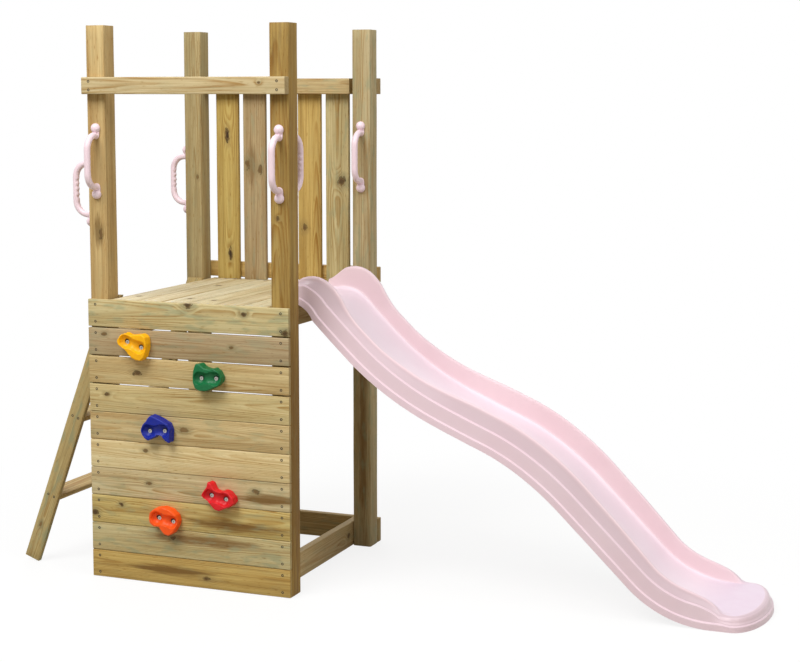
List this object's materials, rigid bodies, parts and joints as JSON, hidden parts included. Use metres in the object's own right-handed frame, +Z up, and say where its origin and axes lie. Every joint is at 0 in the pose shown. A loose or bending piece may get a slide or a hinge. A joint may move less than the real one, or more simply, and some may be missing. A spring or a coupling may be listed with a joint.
{
  "type": "climbing frame with slide",
  "caption": "Wooden garden climbing frame: a raised deck on posts with a plank climbing wall, moulded stones, bowed handles, a leaning ladder and a wavy pale pink slide.",
  "frame": {"origin": "on the ground, under the middle of the whole frame's box", "axes": "+X along the climbing wall towards the slide's end, +Y from the climbing wall to the back guard, +Z up"},
  "size_m": [2.5768, 0.846, 1.87],
  "materials": {
    "treated_pine": "sawn and planed treated pine, matt, with knots and green stain",
    "deck_pine": "planed pale pine, matt",
    "slide_plastic": "pale pink moulded plastic, satin",
    "handle_plastic": "pale pink moulded plastic, satin",
    "stone_yellow": "yellow moulded resin, rough",
    "stone_green": "green moulded resin, rough",
    "stone_blue": "blue moulded resin, rough",
    "stone_red": "red moulded resin, rough",
    "stone_orange": "orange moulded resin, rough",
    "zinc_steel": "zinc plated, dulled"
  },
  "bodies": {
    "root": {"post_front_left": "treated_pine", "post_front_right": "treated_pine", "post_back_left": "treated_pine", "post_back_right": "treated_pine", "wall_plank_1": "treated_pine", "wall_plank_2": "treated_pine", "wall_plank_3": "treated_pine", "wall_plank_4": "treated_pine", "wall_plank_5": "treated_pine", "wall_plank_6": "treated_pine", "wall_plank_7": "treated_pine", "wall_plank_8": "treated_pine", "wall_plank_9": "treated_pine", "wall_plank_10": "treated_pine", "base_beam_left": "treated_pine", "base_beam_right": "treated_pine", "base_beam_back": "treated_pine", "deck_joist_left": "treated_pine", "deck_joist_right": "treated_pine", "deck_joist_front": "treated_pine", "deck_joist_back": "treated_pine", "deck_board_1": "deck_pine", "deck_board_2": "deck_pine", "deck_board_3": "deck_pine", "deck_board_4": "deck_pine", "deck_board_5": "deck_pine", "deck_board_6": "deck_pine", "front_rail": "treated_pine", "back_rail_top": "treated_pine", "back_rail_low": "treated_pine", "back_rail_inner": "treated_pine", "slat_1": "treated_pine", "slat_2": "treated_pine", "slat_3": "treated_pine", "slat_4": "treated_pine", "slat_5": "treated_pine", "ladder_side_front": "treated_pine", "ladder_side_back": "treated_pine", "ladder_rung_1": "treated_pine", "ladder_rung_2": "treated_pine", "ladder_rung_3": "treated_pine", "handle_front_left": "handle_plastic", "handle_side_left": "handle_plastic", "handle_side_back": "handle_plastic", "handle_front_right": "handle_plastic", "handle_back_right": "handle_plastic", "handle_inner_right": "handle_plastic", "stone_yellow": "stone_yellow", "stone_green": "stone_green", "stone_blue": "stone_blue", "stone_red": "stone_red", "stone_orange": "stone_orange", "slide": "slide_plastic", "wall_screws": "zinc_steel", "frame_screws": "zinc_steel", "deck_screws": "zinc_steel", "handle_screws": "zinc_steel", "handle_caps": "handle_plastic", "stone_bolts": "zinc_steel", "stone_nuts": "zinc_steel"}
  },
  "joints": []
}
